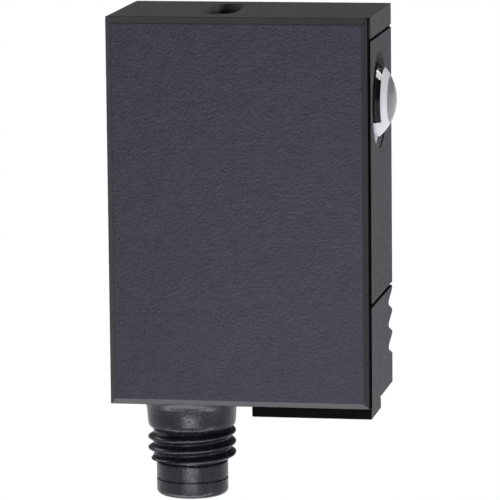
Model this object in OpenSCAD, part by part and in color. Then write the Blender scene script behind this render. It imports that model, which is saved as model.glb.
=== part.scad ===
// Miniature photoelectric sensor: block housing, side-looking lens, M8 plug below.
// X is the width (the lens looks along +X), Y the depth (the mounting face is y = 0), Z is up.
// The origin is the centre of the rear mounting face. All sizes are in millimetres.

/* [Housing] */
// Width across the wide face
body_w = 23.5; // [23:0.1:25]
// Depth from the wide front face to the rear mounting face
body_d = 14; // [14:0.1:15]
// Height without the plug
body_h = 34.8; // [34.4:0.1:37]
// Wall thickness
wall = 1.4; // [1.3:0.05:1.5]
// Bevel round the front cover
bevel = 0.55; // [0.4:0.05:0.65]
// Shadow groove between the front cover and the side face
groove_w = 1.0; // [0.6:0.1:1.1]
// Depth of the shadow groove
groove_t = 0.45; // [0.3:0.05:0.5]

/* [Optics] */
// Lens axis below the top
lens_drop = 7.9; // [7.8:0.1:8.6]
// Diameter of the domed part of the lens
lens_d = 6.6; // [6.2:0.1:6.8]
// Height of the dome in front of the side face
dome_h = 1.5; // [1.0:0.1:1.6]
// Diameter of the round recess in the side face
recess_d = 8.7; // [8.5:0.1:9]

/* [Adjuster and indicator] */
// Recess from the left edge to its centre line
slot_from_left = 9.4; // [9:0.1:10]
// Width of the recess in the top
slot_w = 2.9; // [2.8:0.1:3.2]
// Depth of the recess
slot_depth = 1.2; // [1.0:0.05:1.3]

/* [Plug] */
// Plug axis from the left edge
plug_from_left = 6.1; // [6:0.1:6.5]
// Outside diameter of the thread
thread_d = 8; // [7.8:0.1:8]
// Thread pitch
pitch = 1; // [0.9:0.05:1]
// Diameter of the snap-in nose
nose_d = 6.5; // [6.4:0.05:6.6]
// Length of the plug below the housing
plug_len = 9.35; // [9.3:0.05:9.8]

/* [Locking slide] */
// Height of the slide on the side face
slide_h = 9.0; // [8.8:0.1:9.2]
// How far the foot hangs under the housing
foot_drop = 1.05; // [1:0.05:1.4]
// Travel of the slide
slide_travel = 1.8; // [1:0.1:1.8]
// Number of grip grooves
grip_count = 3; // [2:1:3]

/* [Mounting] */
// Distance between the two threaded inserts
insert_pitch = 25.4; // [25:0.1:25.4]
// Core radius of the M3 thread
insert_bore_r = 1.25; // [1.2:0.01:1.35]

/* [Hidden] */
$fn = 64;
eps = 0.01;

// Outline of the housing
left = -body_w / 2;
right = body_w / 2;
front = -body_d;
bottom = -body_h / 2;
top = body_h / 2;

// Front cover: a plate with a raised inner step that sits inside the frame
cover_rim = bevel + 0.06;
frame_front = front + cover_rim + 0.02;
tongue_front = front + cover_rim + 0.18;
side_front = front + cover_rim + groove_w;
cover_fit = 0.05;

// Side face: band of the frame above, lens panel, locking slide below
panel_t = 1.5;
panel_x = right - panel_t;
band_h = 1.95;
side_gap = 0.2;
panel_top = top - band_h - side_gap;
slide_top = bottom + slide_h;
panel_bottom = slide_top + 0.25;
shelf_t = 1.1;

// Inner space
inner_left = left + wall;
inner_front = front + wall;
inner_top = top - wall;
inner_bottom = bottom + wall;
rear_t = 1.2;
rebate = 0.5;
rear_right = panel_x - 0.05;

// Guide of the locking slide
slide_t = 2.35;
slide_x = right - slide_t;
guide_right = slide_x - 0.1;
guide_left = guide_right - 4.1;
guide_y = -7;
stem_w = 1.8;
head_w = 3.8;
head_t = 1.2;
head_x = guide_right - 2.35;
rail_low = bottom + 1.5;
rail_high = bottom + 7.5;
barb_t = 0.5;
barb_low = bottom + 5.5;
barb_high = bottom + 7;
play = 0.1;
foot_x = 0.95;
foot_front = front + 1.25;
foot_rear = front + 8.5;
grip_pitch = 2.05;
grip_r = 0.75;
grip_depth = 2.2;
grip_first = bottom + 7.7;

// Lens and optics, on an axis along X
lens_y = front + body_d / 2;
lens_z = top - lens_drop;
lens_r = lens_d / 2;
dome_r = (lens_r * lens_r + dome_h * dome_h) / (2 * dome_h);
recess_r = recess_d / 2;
recess_t = 1.0;
flange_t = 0.5;
plug_hole_r = lens_r + 0.1;
tube_front = panel_x - 0.75;
tube_len = 6.9;
tube_back = tube_front - tube_len;
tube_r = 4.0;
tube_bore_r = 3.2;
tube_back_t = 1.2;
splitter_x = tube_front - 3.3;
emitter_r = 1.5;
receiver_r = 1.45;

// Recess in the top, with the adjuster in front and the indicator behind
slot_x = left + slot_from_left;
slot_r = slot_w / 2;
slot_y0 = front + 3.2 + slot_r;
slot_y1 = front + 12 - slot_r;
slot_floor = top - slot_depth;
boss_under = top - 2.5;
rotor_r = 1.2;
rotor_top = slot_floor + 0.2;
trim_w = 4.8;
trim_top = boss_under - 0.2;
trim_low = trim_top - 3.4;
pipe_r = 1.0;
pipe_top = top - 0.9;
pipe_low = boss_under - 0.7;

// Circuit boards
board_t = 1.0;
board_front = -5.3;
board_rear = board_front + board_t;
board_left = inner_left + 0.25;
board_right = 9.7;
board_low = bottom + 5.4;
board_high = inner_top - 2;
optics_board_x = tube_back - 2.4;

// Threaded inserts in the rear face
insert_x = left + 3.15;
insert_top_z = top - 3.4;
insert_r = 2.0;
insert_len = 4.0;
insert_boss_r = 2.9;
insert_boss_len = 4.2;

// Plug, on a vertical axis
plug_x = left + plug_from_left;
plug_y = front + body_d / 2;
flare_r = 4.4;
thread_r = thread_d / 2;
thread_root_r = thread_r - 0.5;
thread_start = -3.35;
thread_turns = 2.5;
nose_r = nose_d / 2;
plug_bore_r = 2.65;
stem_r = 3.45;
stem_hole_r = 3.5;
stem_top = 2.9;
carrier_r = 2.6;
pin_r = 0.5;
pin_offset = 1.2;

DARK = [0.27, 0.27, 0.32];
GREY = [0.29, 0.29, 0.31];
SIDE = [0.36, 0.36, 0.40];
CLEAR = [0.75, 0.78, 0.82, 0.5];
GREEN = [0.05, 0.35, 0.20];
BLACK = [0.06, 0.06, 0.07];
METAL = [0.72, 0.73, 0.75];
GOLD = [0.85, 0.68, 0.30];

// Box between two corners
module block(low, high) {
    translate(low) cube(high - low);
}

// Cylinder along X that starts at x
module rod_x(x, y, z, r, length) {
    translate([x, y, z]) rotate([0, 90, 0]) cylinder(r = r, h = length);
}

// Cylinder along Y that ends at the rear face
module rod_y(x, z, r, length) {
    translate([x, 0, z]) rotate([90, 0, 0]) cylinder(r = r, h = length);
}

// Cylinder along Z
module rod_z(x, y, z, r, length) {
    translate([x, y, z]) cylinder(r = r, h = length);
}

// Ring with a round section, about Z
module ring(major, minor) {
    rotate_extrude() translate([major, 0]) circle(r = minor, $fn = 24);
}

// Upright slot with round ends, from y0 to y1
module round_slot(x, y0, y1, r, z, height) {
    rod_z(x, y0, z, r, height);
    rod_z(x, y1, z, r, height);
    block([x - r, y0, z], [x + r, y1, z + height]);
}

// Plate whose front edges are bevelled on all four sides
module bevelled_plate() {
    intersection() {
        block([left, front, bottom], [right, front + cover_rim, top]);
        // bevels on the left and right edges
        translate([0, 0, bottom]) linear_extrude(body_h)
            polygon([
                [left, front + bevel], [left + bevel, front], [right - bevel, front],
                [right, front + bevel], [right, 0], [left, 0]
            ]);
        // bevels on the top and bottom edges
        translate([left, 0, 0]) rotate([90, 0, 90]) linear_extrude(body_w)
            polygon([
                [front + bevel, bottom], [front, bottom + bevel], [front, top - bevel],
                [front + bevel, top], [0, top], [0, bottom]
            ]);
    }
}

module front_cover() {
    color(DARK) {
        bevelled_plate();
        block(
            [inner_left + cover_fit, front + cover_rim - eps, inner_bottom + cover_fit],
            [guide_left - 0.1, inner_front, inner_top - cover_fit]
        );
    }
}

// Pocket for the T-shaped rail of the locking slide, open below
module guide_pocket() {
    stem_play = stem_w / 2 + play;
    head_play = head_w / 2 + play;
    block(
        [head_x + head_t - eps, guide_y - stem_play, bottom - eps],
        [guide_right + eps, guide_y + stem_play, rail_high + play]
    );
    block(
        [head_x - play, guide_y - head_play, bottom - eps],
        [head_x + head_t + play, guide_y + head_play, rail_high + play]
    );
    block(
        [head_x - play - barb_t, guide_y - 0.7, barb_low - slide_travel - play],
        [head_x, guide_y + 0.7, barb_high + play]
    );
}

// Bosses of both inserts from y0 to y1, larger by grow; the upper one fills the frame's corner
module insert_bosses(y0, y1, grow) {
    r = insert_boss_r + grow;
    for (z = [insert_top_z, insert_top_z - insert_pitch]) {
        translate([0, y1, 0]) rod_y(insert_x, z, r, y1 - y0);
        block([left + eps, y0, z - r], [insert_x, y1, z + r]);
    }
    block([left + eps, y0, insert_top_z], [insert_x + r, y1, top - eps]);
}

// Four walls with the seat of the rear cover
module frame_walls() {
    difference() {
        block([left, frame_front, bottom], [right, 0, top]);
        block([inner_left, frame_front - 1, inner_bottom], [right + 1, 1, inner_top]);
        block(
            [inner_left - rebate, -rear_t, inner_bottom - rebate],
            [rear_right, 1, inner_top + rebate]
        );
    }
}

module housing_frame() {
    color(GREY) difference() {
        union() {
            frame_walls();
            // band that laps over the side face
            block([rear_right, frame_front, top - band_h], [right, 0, top]);
            // wall that guides the locking slide, and the shelf over it
            block([guide_left, frame_front, bottom], [guide_right, 0, panel_bottom]);
            block(
                [guide_left, frame_front, panel_bottom - eps],
                [panel_x, 0, panel_bottom + shelf_t]
            );
            // thicker roof under the recess
            block(
                [slot_x - 2.6, slot_y0 - 2.6, boss_under],
                [slot_x + 2.6, -rear_t - cover_fit, inner_top + eps]
            );
            // bosses for the threaded inserts
            insert_bosses(-insert_boss_len, 0, 0);
        }
        // opening for the side panel below the top band
        block([panel_x, frame_front - 1, panel_bottom - 0.05], [right + 1, 1, top - band_h]);
        // corner taken up by the locking slide
        block([guide_right, frame_front - 1, bottom - 1], [right + 1, 1, panel_bottom]);
        // shadow groove beside the front cover
        block([right - groove_t, frame_front - 1, panel_top], [right + 1, side_front, top + 1]);
        guide_pocket();
        // recess in the top, adjuster hole with ring seat, indicator hole
        round_slot(slot_x, slot_y0, slot_y1, slot_r, slot_floor, slot_depth + 1);
        rod_z(slot_x, slot_y0, boss_under - 1, rotor_r + 0.1, 4);
        rod_z(slot_x, slot_y0, boss_under - eps, 2.0, 0.8);
        rod_z(slot_x, slot_y1, boss_under - 1, pipe_r + 0.05, 4);
        // plug hole
        rod_z(plug_x, plug_y, bottom - 1, stem_hole_r, 4);
        // insert bores
        for (z = [insert_top_z, insert_top_z - insert_pitch])
            translate([0, 1, 0]) rod_y(insert_x, z, insert_r, insert_len + 1);
    }
}

module rear_cover() {
    color(DARK) difference() {
        block(
            [inner_left - rebate + cover_fit, -rear_t, inner_bottom - rebate + cover_fit],
            [rear_right - cover_fit, 0, inner_top + rebate - cover_fit]
        );
        insert_bosses(-rear_t - 1, 1, cover_fit);
        // corner left free for the slide's guide and the shelf over it
        block(
            [guide_left - cover_fit, -rear_t - 1, bottom],
            [right, 1, panel_bottom + shelf_t + cover_fit]
        );
    }
}

module threaded_inserts() {
    color(GOLD)
        for (z = [insert_top_z, insert_top_z - insert_pitch])
            difference() {
                rod_y(insert_x, z, insert_r, insert_len);
                translate([0, eps, 0]) rod_y(insert_x, z, insert_bore_r, insert_len - 0.5);
            }
}

module optics_panel() {
    color(SIDE) difference() {
        union() {
            block([panel_x, side_front, panel_bottom], [right, 0, panel_top]);
            block([panel_x, tongue_front, panel_bottom], [right - groove_t, 0, panel_top]);
        }
        rod_x(right - recess_t, lens_y, lens_z, recess_r, recess_t + 1);
        rod_x(panel_x - 1, lens_y, lens_z, plug_hole_r, panel_t + 2);
    }
}

module lens() {
    x0 = panel_x;
    seat = right - recess_t;
    color(CLEAR) translate([0, lens_y, lens_z]) rotate([0, 90, 0]) {
        translate([0, 0, x0]) cylinder(r = lens_r, h = right - x0);
        translate([0, 0, seat]) cylinder(r = recess_r - 0.08, h = flange_t);
        intersection() {
            translate([0, 0, right + dome_h - dome_r]) sphere(r = dome_r);
            translate([0, 0, right - eps]) cylinder(r = lens_r, h = dome_h + 1);
        }
    }
}

module lens_seal() {
    color(BLACK) translate([panel_x - 0.37, lens_y, lens_z]) rotate([0, 90, 0])
        ring(3.6, 0.36);
}

module polariser() {
    color(BLACK) rod_x(tube_front - 0.3, lens_y, lens_z, tube_bore_r - 0.05, 0.3);
}

module optics_tube() {
    color(BLACK) difference() {
        rod_x(tube_back, lens_y, lens_z, tube_r, tube_len);
        rod_x(tube_back + tube_back_t, lens_y, lens_z, tube_bore_r, tube_len);
        rod_x(tube_back - 1, lens_y, lens_z, emitter_r + 0.05, 4);
        rod_z(splitter_x, lens_y, lens_z - tube_r - 1, receiver_r + 0.05, tube_r);
    }
}

module beam_splitter() {
    color(CLEAR) translate([splitter_x, lens_y, lens_z]) rotate([0, 45, 0])
        translate([-2.6, -2.2, -0.25]) cube([5.2, 4.4, 0.5]);
}

module aperture_disc() {
    color(BLACK) difference() {
        rod_x(tube_back + tube_back_t, lens_y, lens_z, tube_bore_r - 0.05, 0.3);
        rod_x(tube_back + tube_back_t - 1, lens_y, lens_z, 0.9, 3);
    }
}

module emitter_led() {
    color([0.55, 0.12, 0.14]) {
        rod_x(tube_back - 1.6, lens_y, lens_z, 1.9, 0.4);
        rod_x(tube_back - 1.6, lens_y, lens_z, emitter_r, 2.6);
    }
}

module receiver_diode() {
    color([0.12, 0.10, 0.14]) {
        rod_z(splitter_x, lens_y, lens_z - 5.6, receiver_r, 2.3);
        rod_z(splitter_x, lens_y, lens_z - 5.9, 1.65, 0.3);
    }
}

module optics_board() {
    color(GREEN)
        block(
            [optics_board_x, board_front - 6.1, lens_z - 3.4],
            [tube_back - 1.6, board_front - 0.1, lens_z + 3.4]
        );
}

module main_board() {
    color(GREEN) difference() {
        block([board_left, board_front, board_low], [board_right, board_rear, board_high]);
        // clearance for the tube, the slide's guide and the receiver
        block(
            [optics_board_x - 0.2, board_front - 1, lens_z - 4.3],
            [board_right + 1, 0, board_high + 1]
        );
        block(
            [guide_left - 0.3, board_front - 1, bottom],
            [board_right + 1, 0, panel_bottom + shelf_t + 0.2]
        );
    }
}

// Chip on the front (side = -1) or the rear (side = 1) of the main board
module chip(x, z, w, h, t, side) {
    y = side < 0 ? board_front - t : board_rear;
    block([x - w / 2, y, z - h / 2], [x + w / 2, y + t, z + h / 2]);
}

module controller_chip() {
    color(BLACK) chip(-5.6, 4.6, 5, 5, 0.9, -1);
}

module driver_chip() {
    color(BLACK) chip(-2.5, -4.5, 4, 5, 1.4, 1);
}

module shield_can() {
    color(METAL) difference() {
        chip(3.6, -1.6, 6.6, 5.6, 2.0, -1);
        translate([0, eps, 0]) chip(3.6, -1.6, 6.2, 5.2, 1.8, -1);
    }
}

module capacitors() {
    color([0.70, 0.58, 0.42]) {
        for (i = [0:4]) chip(-9.1, -7.5 + 2.6 * i, 0.8, 1.6, 0.8, -1);
        for (i = [0:2]) chip(-8.0 + 2.2 * i, 9.6, 1.6, 0.8, 0.8, -1);
        for (i = [0:2]) chip(-6.4 + 2.4 * i, 1.0, 1.6, 0.8, 0.8, 1);
    }
}

module resistors() {
    color([0.10, 0.10, 0.11]) {
        for (i = [0:4]) chip(-7.4, -8.2 + 1.6 * i, 1.0, 0.5, 0.4, -1);
        for (i = [0:3]) chip(1.4 + 1.6 * i, 2.6, 0.5, 1.0, 0.4, 1);
        for (i = [0:2]) chip(-8.4, 4.4 + 1.6 * i, 1.0, 0.5, 0.4, 1);
    }
}

module crystal() {
    color(METAL) chip(-4.9, 0.2, 3.2, 2.0, 0.8, -1);
}

module inductor() {
    color([0.2, 0.2, 0.22]) chip(3.2, -5.4, 4.0, 4.0, 2.2, 1);
}

module protection_diode() {
    color(BLACK) chip(-6.6, -5.2, 2.2, 3.4, 1.2, 1);
}

// Socket strip that joins the two boards
module board_header() {
    color([0.85, 0.83, 0.76])
        block(
            [optics_board_x - 2.0, board_front - 1.6, lens_z - 3.1],
            [optics_board_x, board_front, lens_z + 1.6]
        );
}

module status_leds() {
    led_z = pipe_low - 0.9;
    color([0.85, 0.85, 0.6]) {
        chip(slot_x - 0.6, led_z, 0.8, 0.8, 0.8, 1);
        chip(slot_x + 0.6, led_z, 0.8, 0.8, 0.8, 1);
    }
}

module light_pipe() {
    color(CLEAR) {
        rod_z(slot_x, slot_y1, pipe_low, pipe_r, pipe_top - pipe_low);
        rod_z(slot_x, slot_y1, pipe_low, 1.35, 0.6);
    }
}

module trimmer_body() {
    color([0.12, 0.22, 0.40]) difference() {
        block(
            [slot_x - trim_w / 2, slot_y0 - trim_w / 2, trim_low],
            [slot_x + trim_w / 2, board_front, trim_top]
        );
        rod_z(slot_x, slot_y0, trim_low + 0.8, rotor_r + 0.05, 5);
    }
}

module trimmer_rotor() {
    slot_cut = 0.45;
    slot_long = 1.9;
    color([0.88, 0.86, 0.80]) difference() {
        rod_z(slot_x, slot_y0, trim_low + 0.85, rotor_r, rotor_top - trim_low - 0.85);
        // cross slot for a screwdriver
        for (a = [0, 90])
            translate([slot_x, slot_y0, rotor_top]) rotate([0, 0, a])
                cube([slot_long, slot_cut, 1.1], center = true);
        // pointer notch
        translate([slot_x, slot_y0 - rotor_r, rotor_top])
            cube([slot_cut, 0.7, 0.6], center = true);
    }
}

module trimmer_seal() {
    color(BLACK) translate([slot_x, slot_y0, boss_under + 0.4]) ring(rotor_r + 0.42, 0.36);
}

// Groove with a round bottom, cut from the rear face across the slide
module grip_groove(z) {
    rod_x(slide_x - 1, -grip_depth + grip_r, z, grip_r, slide_t + 2);
    block([slide_x - 1, -grip_depth + grip_r, z - grip_r], [right + 1, 1, z + grip_r]);
}

module locking_slide() {
    color(SIDE) difference() {
        union() {
            block([slide_x, side_front, bottom], [right, 0, slide_top]);
            block([slide_x, tongue_front, bottom], [right - groove_t, 0, slide_top]);
            // foot under the housing
            translate([0, 0, bottom - foot_drop]) linear_extrude(foot_drop - 0.05)
                polygon([
                    [foot_x, foot_front], [right, foot_front], [right, foot_rear - 1.8],
                    [right - 1.1, foot_rear], [foot_x, foot_rear]
                ]);
            block([slide_x, foot_front, bottom - 0.06], [right, foot_rear - 2, bottom + eps]);
            // T-shaped rail with its snap barb
            block(
                [head_x, guide_y - stem_w / 2, rail_low],
                [slide_x + eps, guide_y + stem_w / 2, rail_high]
            );
            block(
                [head_x, guide_y - head_w / 2, rail_low],
                [head_x + head_t - play, guide_y + head_w / 2, rail_high]
            );
            block(
                [head_x - barb_t, guide_y - 0.6, barb_low],
                [head_x + eps, guide_y + 0.6, barb_high]
            );
        }
        for (i = [0:grip_count - 1]) grip_groove(grip_first - i * grip_pitch);
    }
}

// Point i of a thread ridge's section, at a fraction t of the way along the helix
function ridge_height(t) = min(1, t / 0.06, (1 - t) / 0.06);
function ridge_point(t, i) =
    let (
        a = 90 - 360 * thread_turns * t,
        size = ridge_height(t),
        crest = thread_root_r - 0.05 + (thread_r - thread_root_r + 0.05) * size,
        r = [thread_root_r - 0.2, thread_root_r - 0.2, crest, crest][i],
        dz = [-0.44, 0.44, 0.06, -0.06][i] * max(size, 0.2)
    )
    [r * cos(a), r * sin(a), thread_start + (dz - thread_turns * t) * pitch];

// Right-hand thread ridge, swept along its helix
module thread_ridge() {
    steps = round(32 * thread_turns);
    points = [for (s = [0:steps]) for (i = [0:3]) ridge_point(s / steps, i)];
    sides = [
        for (s = [0:steps - 1]) for (i = [0:3])
            [4 * s + i, 4 * s + (i + 1) % 4, 4 * s + 4 + (i + 1) % 4, 4 * s + 4 + i]
    ];
    polyhedron(points, concat([[3, 2, 1, 0]], sides, [[for (i = [0:3]) 4 * steps + i]]), convexity = 4);
}

module connector_body() {
    nose_end = -plug_len;
    thread_end = -5.95;
    nose_start = thread_end - 0.35;
    relief_r = nose_r - 0.2;
    groove_z = nose_end + 1.55;
    edge = 0.5;
    color(DARK) translate([plug_x, plug_y, bottom]) {
        difference() {
            union() {
                rotate_extrude() {
                    // stem through the housing wall, collar, thread core, relief, nose
                    polygon([
                        [plug_bore_r, stem_top], [stem_r, stem_top], [stem_r, 0], [flare_r, 0],
                        [flare_r, -0.9], [flare_r - 0.22, -1.4], [flare_r - 0.34, -1.9],
                        [flare_r - 0.4, -2.4], [flare_r - 0.46, -2.95], [thread_root_r, -3.35],
                        [thread_root_r, thread_end], [relief_r, thread_end - 0.1],
                        [relief_r, nose_start], [nose_r, nose_start],
                        [nose_r, groove_z + 0.15], [nose_r - 0.15, groove_z],
                        [nose_r, groove_z - 0.15], [nose_r, nose_end + edge],
                        [nose_r - edge, nose_end], [plug_bore_r, nose_end]
                    ]);
                    translate([nose_r - edge, nose_end + edge]) circle(r = edge);
                }
                thread_ridge();
                // key in the bore
                translate([-plug_bore_r - 0.2, -0.4, nose_end + 0.6])
                    cube([0.6, 0.8, 4.6]);
            }
            // groove for the ring seal
            translate([0, 0, 0.5]) difference() {
                cylinder(r = stem_r + 1, h = 0.6);
                translate([0, 0, -1]) cylinder(r = 3.0, h = 3);
            }
        }
    }
}

module connector_seal() {
    color(BLACK) translate([plug_x, plug_y, bottom + 0.8]) ring(3.24, 0.235);
}

module connector_nut() {
    color(METAL) translate([plug_x, plug_y, inner_bottom + 0.05]) difference() {
        cylinder(r = 4.3, h = 1.2, $fn = 6);
        translate([0, 0, -1]) cylinder(r = stem_r + 0.03, h = 4);
    }
}

// Places its children at the four contact positions
module at_contacts() {
    for (sx = [-1, 1]) for (sy = [-1, 1])
        translate([plug_x + sx * pin_offset, plug_y + sy * pin_offset, bottom]) children();
}

module contact_carrier() {
    color(BLACK) difference() {
        rod_z(plug_x, plug_y, bottom - 4, carrier_r, 7.2);
        at_contacts() translate([0, 0, -5]) cylinder(r = pin_r + 0.02, h = 10, $fn = 32);
    }
}

module contact_pins() {
    tip = 0.25;
    pin_low = -8.4;
    color(GOLD) at_contacts() {
        translate([0, 0, pin_low + tip]) cylinder(r = pin_r, h = 4 - pin_low - tip, $fn = 32);
        translate([0, 0, pin_low]) cylinder(r1 = pin_r - tip, r2 = pin_r, h = tip, $fn = 32);
    }
}

// Leads from the pins to pads on the front of the main board
module lead_wires() {
    lead_r = 0.32;
    color([0.55, 0.20, 0.12])
        for (sx = [-1, 1]) for (sy = [-1, 1]) {
            x = plug_x + sx * pin_offset;
            y = plug_y + sy * pin_offset;
            z_end = bottom + (sy < 0 ? 7.6 : 6.2);
            rod_z(x, y, bottom + 4, lead_r, z_end - bottom - 4);
            translate([x, y, z_end]) sphere(r = lead_r);
            translate([x, board_front, z_end]) rotate([90, 0, 0])
                cylinder(r = lead_r, h = board_front - y);
        }
}

front_cover();
housing_frame();
rear_cover();
threaded_inserts();
optics_panel();
lens();
lens_seal();
polariser();
optics_tube();
beam_splitter();
aperture_disc();
emitter_led();
receiver_diode();
optics_board();
main_board();
controller_chip();
driver_chip();
shield_can();
capacitors();
resistors();
crystal();
inductor();
protection_diode();
board_header();
status_leds();
light_pipe();
trimmer_body();
trimmer_rotor();
trimmer_seal();
locking_slide();
connector_body();
connector_seal();
connector_nut();
contact_carrier();
contact_pins();
lead_wires();
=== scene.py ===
"""Looks of a miniature photoelectric sensor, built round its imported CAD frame.

Sizes are in millimetres and turned into metres by MM. Every piece lies where its CAD node lies.
"""

import math

import bmesh
import bpy
from mathutils import Matrix, Vector


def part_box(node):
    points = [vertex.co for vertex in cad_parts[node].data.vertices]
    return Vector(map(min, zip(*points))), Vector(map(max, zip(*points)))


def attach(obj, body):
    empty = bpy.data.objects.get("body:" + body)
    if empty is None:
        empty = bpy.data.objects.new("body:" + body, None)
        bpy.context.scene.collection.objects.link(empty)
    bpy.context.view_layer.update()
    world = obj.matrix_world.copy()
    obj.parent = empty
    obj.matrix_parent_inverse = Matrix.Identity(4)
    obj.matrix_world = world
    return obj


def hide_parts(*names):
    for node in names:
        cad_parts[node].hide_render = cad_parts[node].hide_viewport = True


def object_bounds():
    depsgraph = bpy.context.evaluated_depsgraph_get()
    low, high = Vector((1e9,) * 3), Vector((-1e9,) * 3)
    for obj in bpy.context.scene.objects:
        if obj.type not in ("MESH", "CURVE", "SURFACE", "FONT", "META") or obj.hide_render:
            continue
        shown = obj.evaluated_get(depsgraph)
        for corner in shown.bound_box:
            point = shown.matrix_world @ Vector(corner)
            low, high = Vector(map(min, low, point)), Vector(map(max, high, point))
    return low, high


MM = 0.001
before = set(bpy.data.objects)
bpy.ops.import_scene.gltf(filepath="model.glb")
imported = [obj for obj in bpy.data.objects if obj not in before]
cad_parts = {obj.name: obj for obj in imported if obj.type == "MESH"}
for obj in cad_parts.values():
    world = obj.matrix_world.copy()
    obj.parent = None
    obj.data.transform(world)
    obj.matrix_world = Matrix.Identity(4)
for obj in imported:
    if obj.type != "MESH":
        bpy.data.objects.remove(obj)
cad_low, cad_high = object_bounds()


# ---------------------------------------------------------------- places from the frame
def corners(node):
    """Lowest and highest corner of a CAD node, in millimetres."""
    low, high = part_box(node)
    return low / MM, high / MM


COVER_LOW, COVER_HIGH = corners("front_cover")
LENS_LOW, LENS_HIGH = corners("lens")
PLUG_LOW, PLUG_HIGH = corners("connector_body")
PANEL_LOW, PANEL_HIGH = corners("optics_panel")
SIDE_X = COVER_HIGH.x
LENS_AT = Vector((0, (LENS_LOW.y + LENS_HIGH.y) / 2, (LENS_LOW.z + LENS_HIGH.z) / 2))
PLUG_AT = Vector(((PLUG_LOW.x + PLUG_HIGH.x) / 2, (PLUG_LOW.y + PLUG_HIGH.y) / 2, COVER_LOW.z))


# ---------------------------------------------------------------- camera
CAMERA_AT = Vector((68.93, -387.05, 57.49))
CAMERA_AZIMUTH = 10.3
CAMERA_ELEVATION = 9.09
CAMERA_ROLL = -0.58
CAMERA_LENS = 312.94


def make_camera():
    azimuth, elevation, roll = map(math.radians, (CAMERA_AZIMUTH, CAMERA_ELEVATION, CAMERA_ROLL))
    forward = Vector((
        -math.sin(azimuth) * math.cos(elevation),
        math.cos(azimuth) * math.cos(elevation),
        -math.sin(elevation),
    ))
    right = Vector((math.cos(azimuth), math.sin(azimuth), 0))
    down = forward.cross(right)
    right, down = (
        math.cos(roll) * right - math.sin(roll) * down,
        math.sin(roll) * right + math.cos(roll) * down,
    )
    data = bpy.data.cameras.new("camera")
    data.lens = CAMERA_LENS
    data.sensor_width = 36
    data.clip_start = 0.01
    data.clip_end = 20
    camera = bpy.data.objects.new("camera", data)
    turn = Matrix((right, -down, -forward)).transposed().to_4x4()
    camera.matrix_world = Matrix.Translation(CAMERA_AT * MM) @ turn
    bpy.context.scene.collection.objects.link(camera)
    bpy.context.scene.camera = camera


make_camera()


# ---------------------------------------------------------------- materials
class Look:
    """A node-based material in the making. Scales and depths are in millimetres."""

    def __init__(self, name, colour, roughness, ior=1.46, metallic=0.0):
        self.material = bpy.data.materials.new(name)
        self.material.use_nodes = True
        self.nodes = self.material.node_tree.nodes
        self.links = self.material.node_tree.links
        self.shader = self.nodes["Principled BSDF"]
        self.colour = colour
        self.set("Base Color", (*colour, 1))
        self.set("Roughness", roughness)
        self.set("IOR", ior)
        self.set("Metallic", metallic)
        place = self.nodes.new("ShaderNodeTexCoord")
        scale = self.nodes.new("ShaderNodeVectorMath")
        scale.operation = "SCALE"
        scale.inputs["Scale"].default_value = 1 / MM
        self.links.new(place.outputs["Object"], scale.inputs[0])
        self.place = scale.outputs[0]

    def set(self, socket, value):
        self.shader.inputs[socket].default_value = value

    def stretched(self, factors):
        """Object coordinates in millimetres, times a factor along each axis."""
        node = self.nodes.new("ShaderNodeVectorMath")
        node.operation = "MULTIPLY"
        node.inputs[1].default_value = factors
        self.links.new(self.place, node.inputs[0])
        return node.outputs[0]

    def noise(self, size, detail=2.0, roughness=0.5, place=None):
        node = self.nodes.new("ShaderNodeTexNoise")
        node.inputs["Scale"].default_value = 1 / size
        node.inputs["Detail"].default_value = detail
        node.inputs["Roughness"].default_value = roughness
        self.links.new(place or self.place, node.inputs["Vector"])
        return node.outputs["Fac"]

    def ramp(self, value, low, high, at=(0.3, 0.7)):
        node = self.nodes.new("ShaderNodeMapRange")
        node.interpolation_type = "SMOOTHSTEP"
        node.inputs["From Min"].default_value = at[0]
        node.inputs["From Max"].default_value = at[1]
        node.inputs["To Min"].default_value = low
        node.inputs["To Max"].default_value = high
        self.links.new(value, node.inputs["Value"])
        return node.outputs["Result"]

    def vary_colour(self, value, dark, light, at=(0.3, 0.7)):
        """Base colour between dark and light times the material's own colour."""
        node = self.nodes.new("ShaderNodeMix")
        node.data_type = "RGBA"
        node.inputs["A"].default_value = (*(c * dark for c in self.colour), 1)
        node.inputs["B"].default_value = (*(c * light for c in self.colour), 1)
        self.links.new(self.ramp(value, 0, 1, at), node.inputs["Factor"])
        self.links.new(node.outputs["Result"], self.shader.inputs["Base Color"])

    def vary_roughness(self, value, low, high, at=(0.3, 0.7)):
        self.links.new(self.ramp(value, low, high, at), self.shader.inputs["Roughness"])

    def bump(self, *layers):
        """Each layer is (height value, depth in millimetres)."""
        normal = None
        for height, depth in layers:
            node = self.nodes.new("ShaderNodeBump")
            node.inputs["Strength"].default_value = 1
            node.inputs["Distance"].default_value = depth * MM
            self.links.new(height, node.inputs["Height"])
            if normal:
                self.links.new(normal, node.inputs["Normal"])
            normal = node.outputs["Normal"]
        self.links.new(normal, self.shader.inputs["Normal"])


def moulded(name, colour, roughness, grain, depth, spread=0.12, ior=1.46):
    """Moulded plastic: fine surface grain over a broad, faint mottling."""
    look = Look(name, colour, roughness, ior)
    fine = look.noise(grain, 3, 0.6)
    broad = look.noise(1.1, 3, 0.55)
    look.vary_colour(fine, 1 - spread, 1 + spread)
    look.vary_roughness(broad, roughness - 0.05, roughness + 0.05)
    look.bump((broad, depth * 0.6), (fine, depth))
    return look.material


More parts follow.
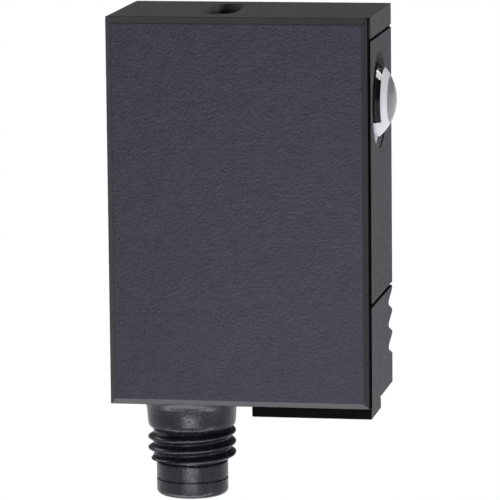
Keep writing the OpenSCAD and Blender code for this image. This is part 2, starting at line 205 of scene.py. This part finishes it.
def eroded_cover():
    """Spark-eroded plastic of the wide cover: coarse satin grain with pale specks."""
    look = Look("eroded_cover", (0.0170, 0.0166, 0.0255), 0.5, 1.35)
    grain = look.noise(0.22, 2, 0.6)
    blotch = look.noise(0.8, 2, 0.5)
    mixed = look.nodes.new("ShaderNodeMath")
    mixed.operation = "MULTIPLY_ADD"
    mixed.inputs[1].default_value = 0.35
    look.links.new(blotch, mixed.inputs[0])
    look.links.new(grain, mixed.inputs[2])
    look.vary_colour(mixed.outputs[0], 0.74, 1.30, (0.53, 0.82))
    look.vary_roughness(grain, 0.46, 0.62)
    look.set("Specular Tint", (0.85, 0.85, 1.0, 1))
    look.bump((blotch, 0.02), (grain, 0.06))
    return look.material


def slot_light_and_shade():
    """Frame plastic of the adjuster recess with painted light and shade: lighter than the frame near the
    rim, growing darker towards the floor of the recess.
    """
    look = Look("slot_light_and_shade", (0.075, 0.075, 0.078), 0.5, 1.4)
    split = look.nodes.new("ShaderNodeSeparateXYZ")
    look.links.new(look.place, split.inputs[0])
    look.vary_colour(split.outputs["Z"], 0.02, 1.0, (COVER_HIGH.z - 0.8, COVER_HIGH.z - 0.15))
    look.vary_roughness(look.noise(0.3, 2), 0.45, 0.65)
    look.bump((look.noise(0.12, 3, 0.6), 0.01))
    return look.material


def clear(name, colour, roughness=0.02, ior=1.49, coat=0.0):
    """Clear acrylic with faint flow marks in its surface."""
    look = Look(name, colour, roughness, ior)
    look.set("Transmission Weight", 1.0)
    look.set("Coat Weight", coat)
    flow = look.noise(1.6, 2, 0.5)
    look.bump((flow, 0.002))
    return look.material


# Heights of the white ring over the side face, a painted reflection, and the span below the lens axis where
# a painted highlight pulls it down over the rim
RING_REFLECTION_START = 0.45
RING_REFLECTION_END = 0.95
LOW_HIGHLIGHT_FROM = 1.9
LOW_HIGHLIGHT_TO = 1.3


def lens_acrylic():
    """Clear acrylic with an opaque white ring round a milky centre. The ring's white is a painted reflection
    of the bright surroundings.

    The lens axis lies along X. The ring lies between two heights over the side face. Below the axis, the
    white ring reaches down over the clear rim as a painted highlight.
    """
    look = Look("lens_acrylic", (0.85, 0.86, 0.9), 0.02, 1.34)
    split = look.nodes.new("ShaderNodeSeparateXYZ")
    look.links.new(look.place, split.inputs[0])
    # Rim, white ring and centre: the white ring's values paint a reflection.
    looks = (
        ("Base Color", (0.3, 0.31, 0.34), (0.62, 0.61, 0.66), (0.30, 0.30, 0.33)),
        ("Transmission Weight", (1.0,) * 3, (0.0,) * 3, (0.35,) * 3),
        ("Roughness", (0.03,) * 3, (0.5,) * 3, (0.2,) * 3),
    )
    height = look.nodes.new("ShaderNodeMapRange")
    height.inputs["From Min"].default_value = SIDE_X
    height.inputs["From Max"].default_value = LENS_HIGH.x
    # Below the axis the white ring is pulled down over the rim: a painted highlight.
    low_highlight_at = (LENS_AT.z - LOW_HIGHLIGHT_FROM, LENS_AT.z - LOW_HIGHLIGHT_TO)
    low_highlight = look.ramp(split.outputs["Z"], SIDE_X + 0.6, SIDE_X - 1, low_highlight_at)
    raised = look.nodes.new("ShaderNodeMath")
    raised.operation = "MAXIMUM"
    look.links.new(split.outputs["X"], raised.inputs[0])
    look.links.new(low_highlight, raised.inputs[1])
    look.links.new(raised.outputs[0], height.inputs["Value"])
    span = LENS_HIGH.x - SIDE_X
    blend = 0.03 / span
    for socket, rim, ring_reflection, centre in looks:
        ramp = look.nodes.new("ShaderNodeValToRGB")
        elements = ramp.color_ramp.elements
        elements[0].position = 0
        elements[0].color = (*rim, 1)
        elements[1].position = 1
        elements[1].color = (*centre, 1)
        for at, before, after in ((RING_REFLECTION_START, rim, ring_reflection), (RING_REFLECTION_END, ring_reflection, centre)):
            elements.new(at / span - blend).color = (*before, 1)
            elements.new(at / span + blend).color = (*after, 1)
        look.links.new(height.outputs[0], ramp.inputs[0])
        look.links.new(ramp.outputs["Color"], look.shader.inputs[socket])
    flow = look.noise(1.6, 2, 0.5)
    look.bump((flow, 0.002))
    return look.material


def metal(name, colour, roughness, brush=(1, 1, 1)):
    """Machined or plated metal, with fine marks stretched by brush."""
    look = Look(name, colour, roughness, 1.5, 1.0)
    marks = look.noise(0.12, 3, 0.6, look.stretched(brush))
    tone = look.noise(0.8, 2, 0.5)
    look.vary_colour(tone, 0.85, 1.1)
    look.vary_roughness(marks, roughness - 0.08, roughness + 0.1)
    look.bump((marks, 0.003))
    return look.material


def rubber(name):
    look = Look(name, (0.012, 0.012, 0.013), 0.6)
    dust = look.noise(0.1, 3, 0.6)
    look.vary_colour(dust, 0.7, 1.8)
    look.bump((dust, 0.006))
    return look.material


def board_mask():
    """Green solder mask with faint copper lines under it."""
    look = Look("board_mask", (0.012, 0.10, 0.045), 0.32)
    lines = look.nodes.new("ShaderNodeTexBrick")
    lines.inputs["Scale"].default_value = 1
    lines.inputs["Brick Width"].default_value = 2.2
    lines.inputs["Row Height"].default_value = 0.55
    lines.inputs["Mortar Size"].default_value = 0.07
    lines.inputs["Color1"].default_value = (0.012, 0.10, 0.045, 1)
    lines.inputs["Color2"].default_value = (0.014, 0.12, 0.052, 1)
    lines.inputs["Mortar"].default_value = (0.03, 0.2, 0.09, 1)
    swap = look.nodes.new("ShaderNodeSeparateXYZ")
    join = look.nodes.new("ShaderNodeCombineXYZ")
    look.links.new(look.place, swap.inputs[0])
    look.links.new(swap.outputs["X"], join.inputs["X"])
    look.links.new(swap.outputs["Z"], join.inputs["Y"])
    look.links.new(join.outputs[0], lines.inputs["Vector"])
    look.links.new(lines.outputs["Color"], look.shader.inputs["Base Color"])
    weave = look.noise(0.25, 2, 0.5)
    look.bump((lines.outputs["Fac"], 0.012), (weave, 0.004))
    return look.material


COVER = eroded_cover()
COVER_EDGE = moulded("cover_edge", (0.012, 0.012, 0.017), 0.5, 0.2, 0.01, 0.12, 1.4)
FRAME = moulded("frame_plastic", (0.017, 0.017, 0.0195), 0.65, 0.12, 0.02, 0.3, 1.4)
PANEL = moulded("panel_plastic", (0.052, 0.051, 0.059), 0.85, 0.3, 0.03, 0.3, 1.3)
SLIDE = moulded("slide_plastic", (0.061, 0.060, 0.069), 0.85, 0.3, 0.03, 0.3, 1.3)
# Glossier plastic of the lens recess, coloured lighter than the panel as a painted highlight.
RECESS_PAINTED_LIGHT = moulded("recess_painted_light", (0.13, 0.13, 0.14), 0.4, 0.4, 0.03, 0.5, 1.4)
# Near-black painted shade: it stands in for the shadow down the gaps, under the housing and on shaded edges.
PAINTED_SHADE = moulded("painted_shade_black", (0.002, 0.002, 0.002), 0.9, 0.2, 0.02, ior=1.12)
PLUG = moulded("plug_plastic", (0.008, 0.0077, 0.0125), 0.27, 0.3, 0.035, 0.4, 1.34)
BLACK = moulded("black_plastic", (0.012, 0.012, 0.013), 0.5, 0.15, 0.006)
EPOXY = moulded("black_epoxy", (0.018, 0.018, 0.019), 0.45, 0.06, 0.004)
CERAMIC = moulded("ceramic", (0.42, 0.30, 0.18), 0.5, 0.05, 0.003)
FERRITE = moulded("ferrite", (0.035, 0.035, 0.038), 0.6, 0.07, 0.006)
HEADER = moulded("header_plastic", (0.55, 0.52, 0.42), 0.42, 0.12, 0.004)
TRIMMER = moulded("trimmer_plastic", (0.02, 0.06, 0.22), 0.35, 0.12, 0.004)
ROTOR = moulded("rotor_plastic", (0.03, 0.03, 0.032), 0.45, 0.1, 0.004)
WIRE = moulded("wire_insulation", (0.32, 0.04, 0.02), 0.42, 0.12, 0.003)
ACRYLIC = clear("clear_acrylic", (0.96, 0.97, 1.0))
LENS = lens_acrylic()
LED_EPOXY = clear("led_epoxy", (0.95, 0.80, 0.55), 0.08, 1.53)
FILTER = moulded("filter_film", (0.02, 0.02, 0.03), 0.2, 0.3, 0.001)
BRASS = metal("brass", (0.72, 0.50, 0.20), 0.3, (1, 6, 1))
GOLD = metal("gold_plate", (0.86, 0.60, 0.22), 0.22, (1, 1, 6))
TIN = metal("tinned_steel", (0.62, 0.62, 0.63), 0.35, (6, 1, 1))
SEAL = rubber("seal_rubber")
MASK = board_mask()


# ---------------------------------------------------------------- mesh tools
SHARP = math.radians(38)


def finish_mesh(bm, name, material, node, body="root"):
    """Turns bm into a piece that rides on body and stands for its CAD node.

    No vertex stays outside the CAD box, and all faces look outwards.
    """
    for vertex in bm.verts:
        for i in range(3):
            vertex.co[i] = min(max(vertex.co[i], cad_low[i]), cad_high[i])
    bmesh.ops.recalc_face_normals(bm, faces=bm.faces)
    if bm.calc_volume(signed=True) < 0:
        bmesh.ops.reverse_faces(bm, faces=bm.faces)
    for face in bm.faces:
        face.smooth = True
    for edge in bm.edges:
        edge.smooth = len(edge.link_faces) != 2 or edge.calc_face_angle() < SHARP
    mesh = bpy.data.meshes.new(name)
    bm.to_mesh(mesh)
    bm.free()
    mesh.materials.append(material)
    piece = bpy.data.objects.new(name, mesh)
    bpy.context.scene.collection.objects.link(piece)
    weighted = piece.modifiers.new("normals", "WEIGHTED_NORMAL")
    weighted.keep_sharp = True
    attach(piece, body)
    if node:
        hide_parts(node)
    return piece


def cad_shape(node):
    """The CAD node's shape as a bmesh with its flat faces whole again."""
    bm = bmesh.new()
    bm.from_mesh(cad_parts[node].data)
    bmesh.ops.remove_doubles(bm, verts=bm.verts, dist=0.002 * MM)
    bmesh.ops.dissolve_limit(
        bm, angle_limit=math.radians(0.5), verts=bm.verts, edges=bm.edges, use_dissolve_boundaries=False
    )
    return bm


def round_edges(bm, width, segments=2, angle=32, sharp_z=None):
    """Rounds every edge of bm sharper than angle, as a mould's cutter leaves it.

    Edges that lie at the height sharp_z stay sharp.
    """
    limit = math.radians(angle)
    edges = [e for e in bm.edges if len(e.link_faces) == 2 and e.calc_face_angle() > limit]
    if sharp_z is not None:
        edges = [e for e in edges if any(abs(v.co.z / MM - sharp_z) > 0.02 for v in e.verts)]
    bmesh.ops.bevel(
        bm, geom=edges, offset=width * MM, offset_type="OFFSET", segments=segments,
        profile=0.5, affect="EDGES", clamp_overlap=False, loop_slide=True,
    )


def softened(node, material, width, segments=2, body="root", angle=32):
    """The CAD node's own shape with rounded edges."""
    bm = cad_shape(node)
    round_edges(bm, width, segments, angle)
    return finish_mesh(bm, node + "_skin", material, node, body)


def arc(centre, radius, start, end, count):
    """Points on an arc in the (radius, height) plane, angles in degrees."""
    angles = [math.radians(start + (end - start) * i / count) for i in range(count + 1)]
    return [(centre[0] + radius * math.cos(a), centre[1] + radius * math.sin(a)) for a in angles]


def turned(bm, profile, place, segments=96, ridge=None, closed=True):
    """Turns a profile of (radius, height) points round place's Z axis, in millimetres.

    ridge(angle, radius, height) gives the radius where it isn't round. A point on the axis
    becomes one vertex.
    """
    rings = []
    for radius, height in profile:
        if radius < 1e-6:
            rings.append([bm.verts.new(place @ Vector((0, 0, height)) * MM)])
            continue
        ring = []
        for i in range(segments):
            a = 2 * math.pi * i / segments
            r = ridge(a, radius, height) if ridge else radius
            ring.append(bm.verts.new(place @ Vector((r * math.cos(a), r * math.sin(a), height)) * MM))
        rings.append(ring)
    pairs = list(zip(rings, rings[1:]))
    if closed:
        pairs.append((rings[-1], rings[0]))
    for low, high in pairs:
        for i in range(segments):
            j = (i + 1) % segments
            corner = [low[i % len(low)], low[j % len(low)], high[j % len(high)], high[i % len(high)]]
            face = list(dict.fromkeys(corner))
            if len(face) > 2:
                bm.faces.new(face)


def along_x(at):
    return Matrix.Translation(at) @ Matrix.Rotation(math.radians(90), 4, "Y")


def along_z(at):
    return Matrix.Translation(at)


# ---------------------------------------------------------------- housing
# Round recess of the lens, grip grooves of the slide, adjuster recess in the roof
RECESS_R = 4.35
RECESS_DEPTH = 1.0
PARTING_Z = corners("locking_slide")[1].z
GRIP_FIRST = COVER_LOW.z + 7.7
GRIP_PITCH = 2.05
GRIP_DEPTH = 2.2
GRIP_R = 0.75
GRIP_CUTS = (-0.15, -0.35, -0.6, -0.85, -1.1, -1.3, -1.45)
ROOF_T = 1.4
# Box round the adjuster recess, whose faces get the painted light and shade
SLOT = ((-4.0, -11.1, 16.1), (-0.7, -1.7, 17.3))
# Painted shade in the gap between the front cover and the side parts: width of the dark strip on the cover's
# bevel, and how far the dark band reaches into the side parts
GAP_SHADE_STRIP = 0.11
GAP_DEPTH = 0.6
SIDE_FRONT = PANEL_LOW.y + 0.82


def front_cover():
    """Eroded wide face, with smoother bevels round it in a material of their own. The outer strip of the
    right bevel gets painted shade, nearly black, for the gap beside it.
    """
    bm = cad_shape("front_cover")
    round_edges(bm, 0.07, 3, 25)
    # Splits the right bevel where the painted shade of the gap begins.
    bmesh.ops.bisect_plane(
        bm, geom=bm.verts[:] + bm.edges[:] + bm.faces[:],
        plane_co=((SIDE_X - GAP_SHADE_STRIP) * MM, 0, 0), plane_no=(1, 0, 0),
    )
    piece = finish_mesh(bm, "front_cover_skin", COVER, "front_cover")
    piece.data.materials.append(COVER_EDGE)
    piece.data.materials.append(PAINTED_SHADE)
    for polygon in piece.data.polygons:
        flat = abs(polygon.normal.y) > 0.95 and polygon.center.y < (COVER_LOW.y + 0.05) * MM
        polygon.material_index = 0 if flat else 1
        # Painted shade: the outer strip of the right bevel is nearly black.
        if polygon.center.x > (SIDE_X - GAP_SHADE_STRIP) * MM:
            polygon.material_index = 2


def darken_gap(piece):
    """The faces down in the gap between the front cover and a side part get painted shade, nearly black."""
    piece.data.materials.append(PAINTED_SHADE)
    index = len(piece.data.materials) - 1
    for polygon in piece.data.polygons:
        at = polygon.center / MM
        if SIDE_X - GAP_DEPTH < at.x < SIDE_X - 0.02 and at.y < SIDE_FRONT + 0.06:
            polygon.material_index = index


front_cover()


def housing_frame():
    """Frame with the adjuster recess in its roof, whose faces get painted light and shade in a material of
    their own.

    The inner roof's edges stay sharp. Rounded, its face would cross the boss round the adjuster.
    """
    bm = cad_shape("housing_frame")
    round_edges(bm, 0.07, sharp_z=COVER_HIGH.z - ROOF_T)
    piece = finish_mesh(bm, "housing_frame_skin", FRAME, "housing_frame")
    piece.data.materials.append(slot_light_and_shade())
    slot_low, slot_high = SLOT
    # Faces inside the adjuster recess get the painted light and shade.
    for polygon in piece.data.polygons:
        at = polygon.center / MM
        inside = all(slot_low[i] < at[i] < slot_high[i] for i in range(3))
        if inside:
            polygon.material_index = 1


housing_frame()
softened("rear_cover", FRAME, 0.06, 2)


def optics_panel():
    """Side panel. The round recess of the lens is glossier and coloured lighter, a painted highlight. Its
    edges along the gaps and the lower rim of the lens recess get painted shade, nearly black.
    """
    bm = cad_shape("optics_panel")
    # Splits the panel where the painted shade on the lens recess's rim begins.
    bmesh.ops.bisect_plane(
        bm, geom=bm.verts[:] + bm.edges[:] + bm.faces[:],
        plane_co=((SIDE_X - 0.13) * MM, 0, 0), plane_no=(1, 0, 0),
    )
    round_edges(bm, 0.05, 2, 40)
    piece = finish_mesh(bm, "optics_panel_skin", PANEL, "optics_panel")
    piece.data.materials.append(RECESS_PAINTED_LIGHT)
    # The lens recess gets the lighter, glossier copy of the panel plastic: a painted highlight.
    for polygon in piece.data.polygons:
        at = polygon.center / MM
        near = math.hypot(at.y - LENS_AT.y, at.z - LENS_AT.z) < RECESS_R + 0.02
        if near and SIDE_X - RECESS_DEPTH - 0.05 < at.x < SIDE_X - 0.02:
            polygon.material_index = 1
    darken_gap(piece)
    # Painted shade: faces along the parting gap and the top gap, and the recess rim below the lens, are
    # nearly black.
    for polygon in piece.data.polygons:
        height = polygon.center.z / MM
        low_edge = PARTING_Z - 0.1 < height < PARTING_Z + 0.2
        if abs(polygon.normal.z) > 0.3 and (low_edge or height > PANEL_HIGH.z - 0.07):
            polygon.material_index = 2
        rim = polygon.material_index == 1 and polygon.center.x / MM > SIDE_X - 0.13
        if rim and height < LENS_AT.z - 1.6:
            polygon.material_index = 2


optics_panel()


def gap_shade_strip():
    """Near-black strip at the rear end of the gap over the side panel, so that no light shows through: a
    dark piece of painted shade put where there is only shade.
    """
    bm = bmesh.new()
    bmesh.ops.create_cube(bm, size=1)
    low = Vector((SIDE_X - 1.6, -1.6, PANEL_HIGH.z + 0.01))
    high = Vector((SIDE_X - 0.1, -0.07, PANEL_HIGH.z + 0.19))
    for vertex in bm.verts:
        vertex.co = Vector(low[i] + (vertex.co[i] + 0.5) * (high[i] - low[i]) for i in range(3)) * MM
    round_edges(bm, 0.02, 2)
    finish_mesh(bm, "gap_shade_strip", PAINTED_SHADE, None)


gap_shade_strip()


def locking_slide():
    """Side part with its foot. The walls of its grip grooves are bent into a smooth wave.

    The foot's front and the top of the parting face get painted shade, nearly black.
    """
    bm = cad_shape("locking_slide")
    for y in GRIP_CUTS:
        bmesh.ops.bisect_plane(
            bm, geom=bm.verts[:] + bm.edges[:] + bm.faces[:], plane_co=(0, y * MM, 0), plane_no=(0, 1, 0),
        )
    for vertex in bm.verts:
        depth, height = -vertex.co.y / MM, vertex.co.z / MM
        if depth > GRIP_DEPTH + 0.01:
            continue
        for i in range(3):
            middle = GRIP_FIRST - i * GRIP_PITCH
            wall = math.sqrt(max(0, GRIP_R ** 2 - max(0, depth - GRIP_DEPTH + GRIP_R) ** 2))
            if abs(abs(height - middle) - wall) < 0.03:
                share = min(1, max(0, depth / GRIP_DEPTH))
                wave = (GRIP_PITCH / 2 - 0.01) / math.pi * math.acos(2 * share - 1)
                vertex.co.z = (middle + math.copysign(wave, height - middle)) * MM
    round_edges(bm, 0.07, 2, 60)
    piece = finish_mesh(bm, "locking_slide_skin", SLIDE, "locking_slide", "slide")
    piece.data.materials.append(PAINTED_SHADE)
    # Painted shade: the foot's front under the housing and the top of the parting face are nearly black.
    for polygon in piece.data.polygons:
        if polygon.center.z < COVER_LOW.z * MM and abs(polygon.normal.y) > 0.6:
            polygon.material_index = 1
        if polygon.center.z > (PARTING_Z - 0.16) * MM and abs(polygon.normal.z) > 0.3:
            polygon.material_index = 1
    darken_gap(piece)


locking_slide()


# ---------------------------------------------------------------- lens
DOME_R = 3.3
FLANGE = 0.5


def lens():
    """Domed lens with a stepped flange and a slightly hollow back."""
    dome = LENS_HIGH.x - SIDE_X
    sphere = (DOME_R ** 2 + dome ** 2) / (2 * dome)
    centre = LENS_HIGH.x - sphere
    edge = math.degrees(math.atan2(SIDE_X - centre, DOME_R))
    seat = SIDE_X - RECESS_DEPTH
    flange_r = (LENS_HIGH.z - LENS_LOW.z) / 2
    back = LENS_LOW.x
    profile = arc((0, centre), sphere, 90, edge, 28)
    profile[0] = (0, LENS_HIGH.x)
    profile += arc((DOME_R + 0.12, seat + FLANGE + 0.12), 0.12, 180, 270, 4)
    profile += arc((flange_r - 0.1, seat + FLANGE - 0.1), 0.1, 90, 0, 4)
    profile += [(flange_r, seat + 0.05), (flange_r - 0.05, seat)]
    profile += [(DOME_R, seat), (DOME_R, back + 0.1), (DOME_R - 0.1, back), (0, back)]
    bm = bmesh.new()
    turned(bm, profile, along_x(Vector((0, LENS_AT.y, LENS_AT.z))), 128, closed=False)
    finish_mesh(bm, "lens_glass", LENS, "lens")


lens()


# ---------------------------------------------------------------- plug
# Heights count down from the underside of the housing. The thread runs out into the relief.
THREAD_START = -3.35
THREAD_TURNS = 2.78
THREAD_END = -5.95
CREST_R = 4.0
ROOT_R = 3.5
PITCH = 1.0
FLARE_R = 4.75
NOSE_R = 3.25
NOSE_START = -6.3
BORE_R = 2.65
STEM_R = 3.45
STEM_TOP = 2.9
SNAP_GROOVE = 1.55
# Collar under the housing, as (height, radius)
COLLAR = [
    (0.0, 4.75), (-0.2, 4.64), (-0.45, 4.46), (-0.75, 4.27), (-1.1, 4.14), (-1.6, 4.06), (-2.6, 3.99),
    (-2.9, 3.93), (-3.05, 3.8), (-3.35, 3.5),
]


def smooth_step(t):
    t = min(1.0, max(0.0, t))
    return t * t * (3 - 2 * t)


def collar_radius(height):
    for (high, r_high), (low, r_low) in zip(COLLAR, COLLAR[1:]):
        if height >= low:
            return r_low + (r_high - r_low) * (height - low) / (high - low)
    return ROOT_R


def ridge_radius(angle, height):
    """Radius of the right-hand thread at one point. It starts behind the plug and runs down."""
    share = (0.25 - angle / (2 * math.pi)) % 1.0
    turn = round((THREAD_START - height) / PITCH - share)
    along = share + turn
    if not 0 <= along <= THREAD_TURNS:
        return 0
    size = min(1.0, along / 0.15, (THREAD_TURNS - along) / 0.15)
    away = abs(height - (THREAD_START - along * PITCH))
    return ROOT_R + (CREST_R - ROOT_R) * size * smooth_step((0.47 - away) / 0.44)


def plug_radius(angle, radius, height):
    if radius < STEM_R + 0.01 or not THREAD_END < height < -0.1:
        return radius
    return max(collar_radius(height), ridge_radius(angle, height))


def plug():
    """Collar, true helical thread and snap-in nose in one turned skin."""
    nose_end = PLUG_LOW.z - PLUG_AT.z
    groove = nose_end + SNAP_GROOVE
    steps = 120
    profile = [(BORE_R, STEM_TOP), (STEM_R, STEM_TOP), (STEM_R, 0), (FLARE_R - 0.06, 0), (FLARE_R, -0.06)]
    for i in range(steps + 1):
        height = -0.12 + (THREAD_END + 0.12 + 0.001) * i / steps
        profile.append((ROOT_R, height))
    profile += [(NOSE_R - 0.2, THREAD_END - 0.1), (NOSE_R - 0.2, NOSE_START + 0.04)]
    profile += [(NOSE_R - 0.16, NOSE_START), (NOSE_R - 0.03, NOSE_START), (NOSE_R, NOSE_START - 0.04)]
    profile += [(NOSE_R, NOSE_START + (groove - NOSE_START) * k / 6) for k in range(1, 6)]
    profile += [(NOSE_R, groove + 0.12), (NOSE_R - 0.14, groove + 0.05)]
    profile += [(NOSE_R - 0.14, groove - 0.05), (NOSE_R, groove - 0.12), (NOSE_R, groove - 0.5)]
    profile += arc((NOSE_R - 0.5, nose_end + 0.5), 0.5, 0, -90, 8)
    profile += [(BORE_R + 0.05, nose_end), (BORE_R, nose_end + 0.05)]
    bm = bmesh.new()
    turned(bm, profile, along_z(PLUG_AT), 160, plug_radius)
    return finish_mesh(bm, "plug_shell", PLUG, "connector_body")


plug()


def plug_key():
    """Coding key on the wall of the plug's bore."""
    nose_end = PLUG_LOW.z
    bm = bmesh.new()
    bmesh.ops.create_cube(bm, size=1)
    for vertex in bm.verts:
        at = Vector((PLUG_AT.x - BORE_R + 0.18, PLUG_AT.y, nose_end + 2.8))
        vertex.co = (at + Vector((vertex.co.x * 0.5, vertex.co.y * 0.8, vertex.co.z * 4.6))) * MM
    round_edges(bm, 0.08, 2)
    finish_mesh(bm, "plug_key", PLUG, None)


plug_key()


# ---------------------------------------------------------------- small pieces
def torus(node, material, place, major, minor, sides=24, segments=72):
    bm = bmesh.new()
    profile = arc((major, 0), minor, 0, 360, sides)[:-1]
    turned(bm, profile, place, segments)
    finish_mesh(bm, node + "_ring", material, node)


def ring_seal(node, axis):
    """A ring seal that fills its CAD node's box."""
    low, high = corners(node)
    centre = (low + high) / 2
    if axis == "x":
        minor = (high.x - low.x) / 2
        torus(node, SEAL, along_x(centre), (high.z - low.z) / 2 - minor, minor)
    else:
        minor = (high.z - low.z) / 2
        torus(node, SEAL, along_z(centre), (high.x - low.x) / 2 - minor, minor)


ring_seal("lens_seal", "x")
ring_seal("trimmer_seal", "z")
ring_seal("connector_seal", "z")


def light_pipe():
    """Clear rod with a domed top and a flange under the roof."""
    low, high = corners("light_pipe")
    centre = (low + high) / 2
    flange_r = (high.x - low.x) / 2
    r = 1.0
    bottom = low.z
    profile = [(0, high.z)]
    profile += arc((r - 0.3, high.z - 0.3), 0.3, 80, 0, 6)
    profile += [(r, bottom + 0.66), (r + 0.06, bottom + 0.6), (flange_r - 0.06, bottom + 0.6)]
    profile += [(flange_r, bottom + 0.54), (flange_r, bottom + 0.06), (flange_r - 0.06, bottom), (0, bottom)]
    bm = bmesh.new()
    turned(bm, profile, along_z(Vector((centre.x, centre.y, 0))), 64, closed=False)
    finish_mesh(bm, "light_pipe_glass", ACRYLIC, "light_pipe")


light_pipe()

SOFT = [
    ("polariser", FILTER, "filter_film", 0.03),
    ("optics_tube", BLACK, "black_plastic", 0.06),
    ("beam_splitter", ACRYLIC, "clear_acrylic", 0.03),
    ("aperture_disc", BLACK, "black_plastic", 0.03),
    ("emitter_led", LED_EPOXY, "led_epoxy", 0.1),
    ("receiver_diode", EPOXY, "black_epoxy", 0.08),
    ("optics_board", MASK, "circuit_board", 0.03),
    ("main_board", MASK, "circuit_board", 0.03),
    ("controller_chip", EPOXY, "black_epoxy", 0.06),
    ("driver_chip", EPOXY, "black_epoxy", 0.08),
    ("shield_can", TIN, "tinned_steel", 0.08),
    ("capacitors", CERAMIC, "ceramic", 0.05),
    ("resistors", EPOXY, "black_epoxy", 0.03),
    ("crystal", TIN, "tinned_steel", 0.08),
    ("inductor", FERRITE, "ferrite", 0.15),
    ("protection_diode", EPOXY, "black_epoxy", 0.06),
    ("board_header", HEADER, "header_plastic", 0.06),
    ("status_leds", LED_EPOXY, "led_epoxy", 0.05),
    ("trimmer_body", TRIMMER, "trimmer_plastic", 0.1),
    ("connector_nut", TIN, "tinned_steel", 0.08),
    ("contact_carrier", BLACK, "black_plastic", 0.05),
    ("threaded_inserts", BRASS, "brass_inserts", 0.06),
    ("lead_wires", WIRE, "wire_insulation", 0.02),
    ("contact_pins", GOLD, "gold_contacts", 0.04),
]
for node, material, slot, width in SOFT:
    softened(node, material, width)
softened("trimmer_rotor", ROTOR, 0.04, 2, "adjuster")


# ---------------------------------------------------------------- stage and light
FLOOR_DROP = 18
FLOOR_Z = cad_low.z - FLOOR_DROP * MM


def stage_floor():
    bm = bmesh.new()
    bmesh.ops.create_grid(bm, x_segments=8, y_segments=8, size=6)
    for vertex in bm.verts:
        vertex.co.z = FLOOR_Z
    mesh = bpy.data.meshes.new("floor")
    bm.to_mesh(mesh)
    bm.free()
    look = Look("floor_paper", (0.93, 0.93, 0.93), 0.9)
    look.bump((look.noise(3, 2), 0.01))
    mesh.materials.append(look.material)
    floor = bpy.data.objects.new("floor", mesh)
    bpy.context.scene.collection.objects.link(floor)


def sun(name, azimuth, elevation, strength, angle):
    """Soft distant light. Azimuth 0 comes from behind the camera, 90 from the right."""
    data = bpy.data.lights.new(name, "SUN")
    data.energy = strength
    data.angle = math.radians(angle)
    light = bpy.data.objects.new(name, data)
    a, e = math.radians(azimuth), math.radians(elevation)
    source = Vector((math.sin(a) * math.cos(e), -math.cos(a) * math.cos(e), math.sin(e)))
    light.rotation_mode = "QUATERNION"
    light.rotation_quaternion = source.to_track_quat("Z", "Y")
    bpy.context.scene.collection.objects.link(light)


def floor_card(name, x, y, size, power):
    """Small softbox lying face up on the floor in front, which the lower edges and the plug mirror."""
    data = bpy.data.lights.new(name, "AREA")
    data.shape = "RECTANGLE"
    data.size, data.size_y = size
    data.energy = power
    light = bpy.data.objects.new(name, data)
    light.location = (x, y, FLOOR_Z + 0.002)
    light.rotation_euler = (math.radians(180), 0, 0)
    bpy.context.scene.collection.objects.link(light)


def world_light(strength):
    world = bpy.data.worlds.new("studio")
    world.use_nodes = True
    background = world.node_tree.nodes["Background"]
    background.inputs["Color"].default_value = (1, 1, 1, 1)
    background.inputs["Strength"].default_value = strength
    bpy.context.scene.world = world


stage_floor()
world_light(0.12)
sun("left_light", -110, 50, 2.45, 50)
sun("right_light", 123, 36, 1.9, 24)
sun("front_light", -14, 8, 0.4, 40)
floor_card("near_card", 0, -0.0195, (0.07, 0.014), 0.018)
floor_card("plug_card", 0.006, -0.11, (0.06, 0.08), 0.19)
bpy.context.scene.view_settings.view_transform = "Standard"
